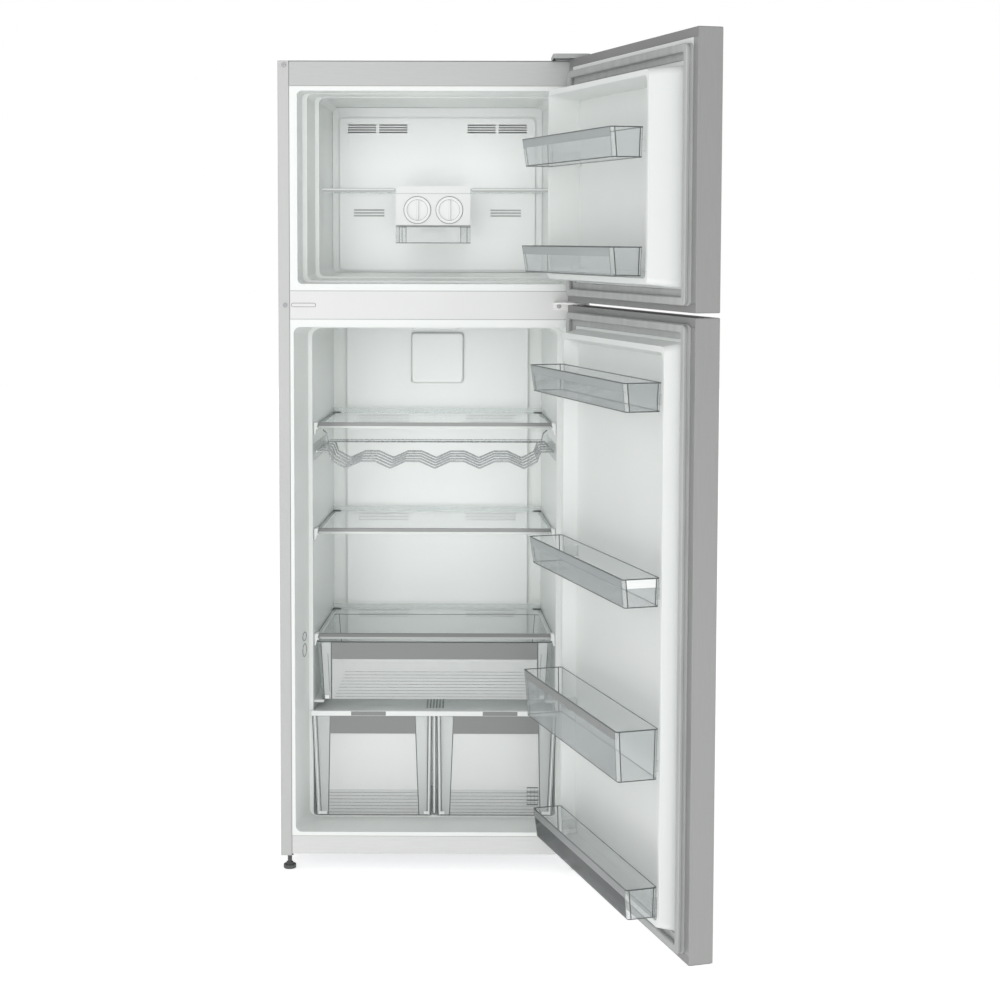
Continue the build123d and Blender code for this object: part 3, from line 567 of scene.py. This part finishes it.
def shelf_trims():
    """Each glass shelf's front rail, wall brackets, dark side edges with bent ends, and clear rear stop."""
    glass = points_of("shelf_glass")
    low, high = span(points_of("shelf_trims"))
    half, back_half = high.x - 0.2, half_width_at("shelf_glass", span(glass)[1].y)
    wall = half + 1.4
    reach, turns = 16, (0.3, 0.6, 0.9, 1.2, pi / 2)
    front, rear = low.y, low.y + 20
    bracket_foot = [(wall - 3, front - 1), (wall, front - 1), (wall - 0.6, rear), (wall - 3.6, rear)]
    bracket_head = [(wall - 10, front - 3), (wall, front - 3), (wall - 0.6, rear), (wall - 10, rear)]
    rails = Piece("shelf_front_rails", "cabinet")
    edges = Piece("shelf_side_edges", "cabinet")
    stops = Piece("shelf_rear_stops", "cabinet")
    for bottom, _ in stacks(glass, 30):
        z = bottom.z
        rails.box((-half + 8, half - 8), (low.y + 0.1, low.y + 5.8), (z + 3.4, z + 11.4), LOOKS["trim_grey"])
        rails.box((-half + 12, half - 12), (low.y + 0.2, low.y + 3.2), (z - 1.4, z + 3.4), RAIL_LIP)
        rails.box((-half + 3, half - 3), (low.y + 5.8, low.y + 13.5), (z + 4.1, z + 6.3), LOOKS["trim_grey"])
        for side in SIDES:
            start = Vector((side * (half - 1), low.y + 8, z + 3.4))
            end = Vector((side * (back_half - 1.2), high.y - 26, z + 3.4))
            curl = [end + Vector((-side * (reach * (1 - cos(a))), reach * sin(a), 0)) for a in turns]
            edges.tube([start, end, *curl], 0.9, EDGE)
            corner = sorted((side * (back_half - 21), side * (back_half - 0.5)))
            edges.box(corner, (high.y - 28, high.y - 20), (z + 2.6, z + 6.4), EDGE)
            rails.hull([(side * x, y, z - 17) for x, y in bracket_foot],
                       [(side * x, y, z + 11) for x, y in bracket_head], LOOKS["trim_white"])
        stops.box((-back_half, back_half), (high.y - 4, high.y), (z + 0.2, z + 14), REAR_TRIM)
        stops.box((-back_half, back_half), (high.y - 4.2, high.y - 3.8), (z + 14, z + 15.0), SEAM)
    rails.done(replaces=["shelf_trims"], bevel=0.0005)
    edges.done()
    stops.done()


def rack_guards():
    """The bent wire ends that stand up beside the bottle rack, and the two wires along its back."""
    low, high = span(points_of("wine_rack"))
    guards = Piece("rack_guard_wires", "cabinet")
    foot_x, bends = 244, ((0, 4, -4), (3, 4, 18), (8, 5, 40), (16, 12, 46), (18, 40, 44))
    for side in SIDES:
        rise = [(side * (foot_x + out), low.y + back, high.z + up) for out, back, up in bends]
        guards.tube(rise, 1.5, LOOKS["chrome_wire"])
    reach = half_width_at("shelf_glass", high.y - 8) - 3
    for height in (-1.5, 3.2):
        ends = [(side * reach, high.y - 8, high.z + height) for side in SIDES]
        guards.tube(ends, 0.9, LOOKS["chrome_wire"])
    guards.done()


def wall_bosses():
    """The dark outlines of the two small oval bosses on the left wall, drawn along its lean towards the
    back.
    """
    marks = Piece("wall_bosses", "cabinet")
    wall, lean, depth, reach = -299.7, 0.24, 67, 13
    turns = [2 * pi * k / 20 for k in range(20)]
    for z, tall in ((535, 10), (503, 15)):
        path = [(wall + lean * (reach * cos(a)), depth + reach * cos(a), z + tall * sin(a)) for a in turns]
        marks.tube(path, 0.7, EDGE, closed=True, sides=6)
    marks.done()


def front_joint_lines():
    """The dark gaps beside the front returns, and the grey joints above and below the mullion cover."""
    gaps = Piece("front_shadow_gaps", "cabinet")
    low, high = span(points_of("side_panel_left"))
    for side in SIDES:
        gaps.box((side * 324.1, side * 324.9), (0.5, 0.9), (low.z + 5, high.z - 3), DARK_GAP)
    low, high = span(points_of("mullion_cover"))
    for z in (low.z - 0.4, high.z + 0.4):
        gaps.box((-323, 323), (-0.15, 0.2), (z - 0.6, z + 0.6), RIB)
    gaps.done()


def mullion_plate_outline():
    """The outline of the small cover plate at the mullion's left end."""
    plate = Piece("mullion_plate_outline", "cabinet")
    loop = rounded(oblong((-320.6, -266.4), (1300.4, 1308.6)), 3.6, 0.2)
    plate.tube([(p.x, -0.3, p.y) for p, _ in loop], 0.5, DARK_GAP, closed=True, sides=6)
    plate.done()


shelf_trims()
rack_guards()
wall_bosses()
front_joint_lines()
mullion_plate_outline()


# ---------------------------------------------------------------- drawers

def tapered(front, back):
    """A plan outline from (y, half width) at the front and at the back."""
    return [(-front[1], front[0]), (front[1], front[0]), (back[1], back[0]), (-back[1], back[0])]


def chiller():
    """The wide drawer: a ribbed clear tub with a milky front, clear end columns and a grey grip band, with a
    painted highlight at each column's foot.
    """
    low, high = span(points_of("chiller_drawer"))
    rim_half, front, back = high.x - 0.2, low.y + 3.7, high.y - 0.2
    taper = (283 - 262) / 402
    rim_back = rim_half - (back - front) * taper
    rim = tapered((front, rim_half), (back, rim_back))
    foot = tapered((front + 4, rim_half - 11), (back - 6, rim_back - 11))
    piece = Piece("chiller_drawer_clear", "chiller_drawer")
    clear = LOOKS["clear_plastic"]
    piece.tub(foot, rim, (low.z + 0.1, high.z - 0.1), (clear, EDGE, clear, clear), corner=14)
    rib_half, rib_z = foot[2][0] - 8, (low.z + 2.3, low.z + 4.3)
    piece.ribs((-rib_half, rib_half), (front + 14, front + 262), rib_z, 9, RIB, 2.2)
    face, inner, grip_low = low.y + 0.1, 241.0, high.z - 41
    piece.box((-inner, inner), (face, face + 3.0), (grip_low, high.z - 2), GRIP)
    piece.box((-inner + 1, inner - 1), (face + 1.4, face + 2.4), (low.z + 2, grip_low), MILKY)
    for k in range(9):
        z = low.z + 7 + 7.4 * k
        piece.box((-inner + 8 + 3 * k, inner - 8), (face + 1.1, face + 1.4), (z, z + 1.2), FRONT_RIB)
    foot_z, top_z = low.z + 2, high.z - 2
    top_x, foot_x = rim_half - 12, rim_half - 20
    column = [(inner + 1, foot_z), (foot_x, foot_z), (top_x, top_z), (inner + 1, top_z)]
    for side in SIDES:
        piece.plate([(side * x, z) for x, z in column], (face + 1.6, face + 2.6), COLUMN)
        corner = (side * inner, side * (inner + 1.6))
        piece.box(corner, (face + 0.6, face + 2.4), (low.z + 1, high.z - 1), EDGE)
        outer = [(side * foot_x, face + 1.6, foot_z), (side * top_x, face + 1.6, top_z)]
        piece.tube(outer, 0.8, EDGE)
        fold = [(side * (foot_x - 12), face + 1.4, low.z + 20),
                (side * (top_x - 16), face + 1.4, high.z - 28)]
        piece.tube(fold, 0.7, SOFT_EDGE)
        # painted highlight at the foot of each clear column
        foot_highlight = (side * (inner + 6), side * (foot_x - 1))
        piece.box(foot_highlight, (face + 0.4, face + 1.4), (low.z + 3, low.z + 11), PAINTED_HIGHLIGHT)
    piece.done(replaces=["chiller_drawer"])


def crisper(name, side):
    """A bottom drawer: a clear ribbed tub behind a milky front with a grey grip band and clear columns, with
    painted highlight strips and feet on the columns.
    """
    low, high = span(points_of(name))
    near, far = (low.x, high.x) if side > 0 else (-high.x, -low.x)
    top, bottom, face = high.z - 0.2, low.z + 0.1, low.y + 0.1
    piece = Piece(f"{name}_clear", name)
    clear = LOOKS["clear_plastic"]

    def turn(points):
        ordered = [(side * x, y) for x, y in points]
        return ordered if side > 0 else list(reversed(ordered))

    rim = turn([(near + 0.2, face + 3.8), (far - 1.4, face + 3.8),
                (far - 13.6, high.y - 0.2), (near + 0.2, high.y - 0.2)])
    foot = turn([(near + 3, face + 7), (far - 16.5, face + 7),
                 (far - 26.5, high.y - 4.2), (near + 3, high.y - 4.2)])
    piece.tub(foot, rim, (bottom, top - 1), (clear, EDGE, clear, clear), corner=11)
    ribbed = sorted((side * (near + 12), side * (far - 34)))
    piece.ribs(ribbed, (face + 14, face + 190), (bottom + 2.3, bottom + 4.3), 8, RIB, 2.2)

    def across(ends, height):
        """Where a sloping line, given by its ends at the bottom and at the top, is at a height."""
        t = (height - bottom) / (top - bottom)
        return ends[0] + (ends[1] - ends[0]) * t

    edges = {"panel_in": (36, 45), "panel_out": (248, 243), "plate_in": (near + 2.6, near + 0.2),
             "plate_out": (far - 10.5, far - 0.4)}

    def strip(first, second, z, y, look):
        outline = [(side * across(edges[first], z[0]), z[0]), (side * across(edges[second], z[0]), z[0]),
                   (side * across(edges[second], z[1]), z[1]), (side * across(edges[first], z[1]), z[1])]
        piece.plate(outline, y, look)

    grip_low = top - 42
    strip("panel_in", "panel_out", (bottom + 2, bottom + 62), (face + 1.6, face + 2.8), MILKY)
    strip("panel_in", "panel_out", (bottom + 62, grip_low), (face + 1.6, face + 2.8), FROST)
    for k in range(7):
        z = bottom + 7 + 7.8 * k
        strip("panel_in", "panel_out", (z, z + 1.2), (face + 1.3, face + 1.6), FRONT_RIB)
    strip("panel_in", "panel_out", (grip_low, top), (face + 0.2, face + 2.8), GRIP)
    strip("plate_in", "panel_in", (bottom + 2, top), (face + 2.0, face + 3.0), COLUMN)
    strip("panel_out", "plate_out", (bottom + 2, top), (face + 2.0, face + 3.0), COLUMN)
    # dark edge lines of the clear plates, and painted highlight strips beside the plates' edges
    lines = (("panel_in", 0, EDGE), ("panel_out", 0, EDGE),
             ("plate_in", 0.8, EDGE), ("plate_out", -0.8, EDGE),
             ("plate_in", 9, EDGE), ("plate_out", -11, EDGE),
             ("plate_in", 5, PAINTED_HIGHLIGHT), ("plate_out", -6, PAINTED_HIGHLIGHT))
    for key, shift, look in lines:
        radius = 1.3 if look is PAINTED_HIGHLIGHT else 0.85
        ends = [(side * (across(edges[key], z) + shift), face + 1.8, z) for z in (bottom + 2, top - 1)]
        piece.tube(ends, radius, look)
    # painted highlights at the foot of each clear column
    near_foot, far_foot = edges["plate_in"][0], edges["plate_out"][0]
    for inner, outer in ((near_foot + 4, 24), (far_foot - 24, far_foot - 4)):
        foot_highlight = sorted((side * inner, side * outer))
        piece.box(foot_highlight, (face + 0.6, face + 1.6), (bottom + 3, bottom + 10), PAINTED_HIGHLIGHT)
    ends = [(side * across(edges[key], bottom), face + 1.8, bottom + 1) for key in ("plate_in", "plate_out")]
    piece.tube(ends, 0.85, EDGE)
    piece.done(replaces=[name])


def humidity_slots(name):
    """The small slotted vent at the foot of a crisper's front plate."""
    low = span(points_of(name))[0]
    bottom, face = low.z + 0.1, low.y + 0.1
    depth = (face + 1.0, face + 1.7)
    vent = Piece("humidity_slots", name)
    for k in range(5):
        z = bottom + 26 + 10 * k
        vent.box((217, 243), depth, (z, z + 1.8), EDGE)
    for x in (217, 225.5, 234, 242.5):
        vent.box((x, x + 0.9), depth, (bottom + 26, bottom + 67), SOFT_EDGE)
    vent.done()


def crisper_lid():
    """The tinted glass over the crispers, its white front rail and the two grey windows in it."""
    low, high = span(points_of("crisper_cover_trim"))
    windows = Piece("crisper_rail_windows", "cabinet")
    for side in SIDES:
        x = sorted((side * 113, side * 194))
        windows.box(x, (low.y - 0.25, low.y + 1), (low.z + 0.6, high.z - 0.6), GRIP)
    for k in range(6):
        x = -19 + 7.4 * k
        windows.box((x, x + 3.4), (low.y + 40, low.y + 130), (high.z - 2.3, high.z - 1.9), FRONT_RIB)
    windows.done(bevel=0.0002)
    divider = Piece("crisper_centre_guide", "cabinet")
    tub_low, tub_high = span(points_of("crisper_left"))
    depth, height = (tub_low.y + 8, tub_high.y - 6), (tub_low.z + 3, tub_high.z)
    divider.box((-2.2, 2.2), depth, height, LOOKS["liner_white"])
    divider.done(bevel=0.0005)
    dress(NODES["crisper_cover_glass"], TINTED)


chiller()
crisper("crisper_left", -1)
crisper("crisper_right", 1)
humidity_slots("crisper_right")
crisper_lid()


# ---------------------------------------------------------------- freezer fittings

def ice_maker_seams():
    """The lid's seam and the lower edge of the ice maker."""
    low, high = span(points_of("ice_maker_housing"))
    seams = Piece("ice_maker_seams", "cabinet")
    x, y = (low.x + 0.5, high.x - 0.5), (low.y - 0.15, low.y + 0.5)
    seams.box(x, y, (high.z - 17, high.z - 16.1), SOFT_EDGE)
    seams.box(x, y, (low.z, low.z + 1.0), EDGE)
    seams.done()


def knob_rings(name):
    """The dark rim of an ice tray's knob and the fainter ring inside it."""
    low, high = span(points_of(name))
    centre = ((low.x + high.x) / 2, (low.z + high.z) / 2)
    rims = Piece(f"{name}_rings", name)
    rims.tube(ring_path(centre, 31.2, low.y + 5), 0.7, EDGE, closed=True, sides=6)
    rims.tube(ring_path(centre, 24.4, low.y + 2.2), 0.6, SOFT_EDGE, closed=True, sides=6)
    rims.done()


def ice_box():
    """The clear ice box under the trays, with its milky front and its grip."""
    low, high = span(points_of("ice_box"))
    face, clear = low.y + 5.1, LOOKS["clear_plastic"]
    plan = oblong((low.x + 0.1, high.x - 0.1), (face, high.y - 0.1))
    skin = (face - 0.6, face + 0.2)
    box = Piece("ice_box_clear", "ice_box")
    box.tub(plan, plan, (low.z + 0.1, high.z - 0.1), (clear, EDGE, clear, clear), corner=8, line=1.4)
    box.box((low.x + 26, high.x - 24), skin, (low.z + 2, high.z - 1.5), MILKY)
    for x in (low.x + 24, high.x - 24):
        box.box((x, x + 1.4), skin, (low.z + 1, high.z - 1), EDGE)
    box.box((low.x + 60, low.x + 115), (low.y + 0.1, face), (high.z - 14, high.z - 3), clear)
    box.done(replaces=["ice_box"])


def freezer_rails():
    """The freezer shelf's light front edge with its grey underline, and the clear rear stop."""
    low, high = span(points_of("freezer_shelf_trim"))
    rails = Piece("freezer_shelf_rails", "cabinet")
    z = span(points_of("freezer_shelf_glass"))[0].z
    for x in ((low.x + 0.2, -95.2), (85.2, high.x - 0.2)):
        rails.box(x, (low.y + 0.1, low.y + 5.9), (z + 0.8, z + 5.0), LOOKS["trim_white"])
        rails.box(x, (low.y + 0.1, low.y + 5.9), (z - 2.6, z + 0.8), RAIL_LIP)
        rails.box(x, (low.y + 0.1, low.y + 5.9), (z + 5.0, z + 5.6), SOFT_EDGE)
    rails.box((-255.8, 255.8), (430.2, 433.8), (z + 0.2, z + 11.5), REAR_TRIM)
    rails.done(replaces=["freezer_shelf_trim"], bevel=0.0003)


def rear_cover_rim():
    """The rim that closes the gap round the freezer's rear cover."""
    y = span(points_of("freezer_back_cover"))[0].y + 6
    outer = rounded(oblong((-259, 259), (1371, 1775.6)), 13)
    inner = rounded(oblong((-243, 243), (1377.5, 1748.5)), 11)
    count = len(outer)
    rim = Piece("rear_cover_rim", "cabinet")
    rim.add([(p.x, y, p.y) for p, _ in [*outer, *inner]], ring_faces(0, count, count), LOOKS["panel_white"])
    rim.done()


def rear_slot_light_sheet():
    """A pale sheet just behind the rear cover's lower slots: painted light, so the slots read pale instead
    of as dark openings into the hollow behind.
    """
    backing = Piece("rear_slot_light_sheet", "cabinet")
    for side in SIDES:
        backing.box(sorted((side * 128, side * 210)), (444.2, 444.8), (1502, 1532), RAIL_LIP)
    backing.done()


def airflow_cover():
    """The plain square cover with its softened front edge, and the seam round it."""
    low, high = span(points_of("airflow_cover"))
    cover = Piece("airflow_cover_plain", "cabinet")
    steps = ((0, high.y - 0.1), (0, low.y + 5), (1.2, low.y + 1.8), (3.5, low.y + 0.3))
    corners = oblong((low.x + 0.1, high.x - 0.1), (low.z + 16, high.z - 0.1))
    rings = [[(p.x, depth, p.y) for p, _ in rounded(inset(corners, move), 8)] for move, depth in steps]
    count = len(rings[0])
    faces = []
    for row in range(len(rings) - 1):
        faces += ring_faces(row * count, (row + 1) * count, count)
    last = (len(rings) - 1) * count
    faces.append(tuple(range(last, last + count)))
    cover.add([p for ring in rings for p in ring], faces, LOOKS["panel_white"])
    cover.done(replaces=["airflow_cover"])
    seam = Piece("airflow_cover_seam", "cabinet")
    loop = rounded(inset(corners, -1.4), 9)
    seam.tube([(p.x, high.y - 0.6, p.y) for p, _ in loop], 0.8, SEAM, closed=True, sides=6)
    seam.done()


def duct_inner_wall():
    """The pale wall that shows through the air duct's slots."""
    low, high = span(points_of("air_duct_panel"))
    depth = (low.y + 4.6, low.y + 5.2)
    wall = Piece("duct_inner_wall", "cabinet")
    wall.box((low.x + 5, high.x - 5), depth, (low.z + 5, high.z - 5), LOOKS["panel_white"])
    wall.done()


ice_maker_seams()
knob_rings("ice_tray_left")
knob_rings("ice_tray_right")
ice_box()
freezer_rails()
rear_cover_rim()
rear_slot_light_sheet()
airflow_cover()
duct_inner_wall()


# ---------------------------------------------------------------- camera, light and floor

def add_camera():
    """A level-standing view from a little right of the middle, looking slightly down."""
    data = bpy.data.cameras.new("view")
    data.sensor_width = 36
    data.lens = 67.79
    data.shift_x = 0.04
    data.shift_y = -0.13
    data.clip_end = 60
    camera = bpy.data.objects.new("view", data)
    camera.location = (0.0795, -4.2352, 1.4556)
    camera.rotation_euler = (pi / 2 - 0.0700, -0.0020, 0.0050)
    SCENE.collection.objects.link(camera)
    SCENE.camera = camera


def add_area(name, place, aim, size, power, spread=pi):
    """A soft rectangular lamp, seen in gloss only when it stands in front of the object."""
    data = bpy.data.lights.new(name, "AREA")
    data.shape = "RECTANGLE"
    data.size, data.size_y = size
    data.energy = power
    data.spread = spread
    lamp = bpy.data.objects.new(name, data)
    lamp.location = place
    lamp.rotation_euler = (Vector(aim) - Vector(place)).to_track_quat("-Z", "Y").to_euler()
    lamp.visible_camera = False
    lamp.visible_glossy = place[1] < -1
    SCENE.collection.objects.link(lamp)


def add_surround():
    """A white surround that lights the object less strongly than it shows."""
    world = bpy.data.worlds.new("studio")
    SCENE.world = world
    world.use_nodes = True
    tree = world.node_tree
    background = tree.nodes["Background"]
    background.inputs["Color"].default_value = (1.0, 1.0, 1.0, 1)
    seen = tree.nodes.new("ShaderNodeLightPath")
    strength = tree.nodes.new("ShaderNodeMapRange")
    strength.inputs["To Min"].default_value = 0.6
    strength.inputs["To Max"].default_value = 1.0
    tree.links.new(seen.outputs["Is Camera Ray"], strength.inputs["Value"])
    tree.links.new(strength.outputs["Result"], background.inputs["Strength"])


def add_lamps():
    """A soft front light, a weaker left one, and a weak fill in the mouth of each compartment and drawer."""
    add_area("front_soft", (-0.6, -4.6, 1.9), (0, 0, 0.9), (3.4, 2.8), 62)
    add_area("left_soft", (-3.2, -1.4, 2.4), (0.3, -0.2, 1.0), (2.0, 2.6), 6)
    inside = span(points_of("chiller_drawer"))[0].y + 30
    fills = (("freezer_fill", 165, (1385, 1690), 0.3),
             ("fridge_fill", 60, (620, 1150), 0.42),
             ("chiller_fill", inside, (420, 505), 0.1),
             ("crisper_fill", inside, (135, 320), 0.19))
    for name, y, z, power in fills:
        middle = (z[0] + z[1]) / 2
        size = (0.44, (z[1] - z[0]) * MM)
        add_area(name, flat((0, y, middle)), flat((0, 500, middle)), size, power, radians(110))


def add_floor():
    """A wide white floor that runs into the surround."""
    mesh = bpy.data.meshes.new("floor")
    reach = (-14.0, 14.0)
    mesh.from_pydata([(x, y, 0) for x, y in oblong(reach, reach)], [], [(0, 1, 2, 3)])
    floor = bpy.data.objects.new("floor", mesh)
    SCENE.collection.objects.link(floor)
    look = Look("pale_floor")
    body = look.shader(Roughness=0.8)
    body.inputs["Specular IOR Level"].default_value = 0.1
    grain = look.ramp(look.noise(3.0), 0, 1)
    pale = look.blend_colour(grain, (0.93, 0.93, 0.93, 1), (0.96, 0.96, 0.96, 1))
    look.join(pale, body.inputs["Base Color"])
    body.inputs["Emission Color"].default_value = (1, 1, 1, 1)
    body.inputs["Emission Strength"].default_value = 0.55
    dress(floor, look.finish(body))


add_camera()
add_surround()
add_lamps()
add_floor()
SCENE.view_settings.view_transform = "Standard"
SCENE.view_settings.look = "None"
SCENE.cycles.transparent_max_bounces = 48
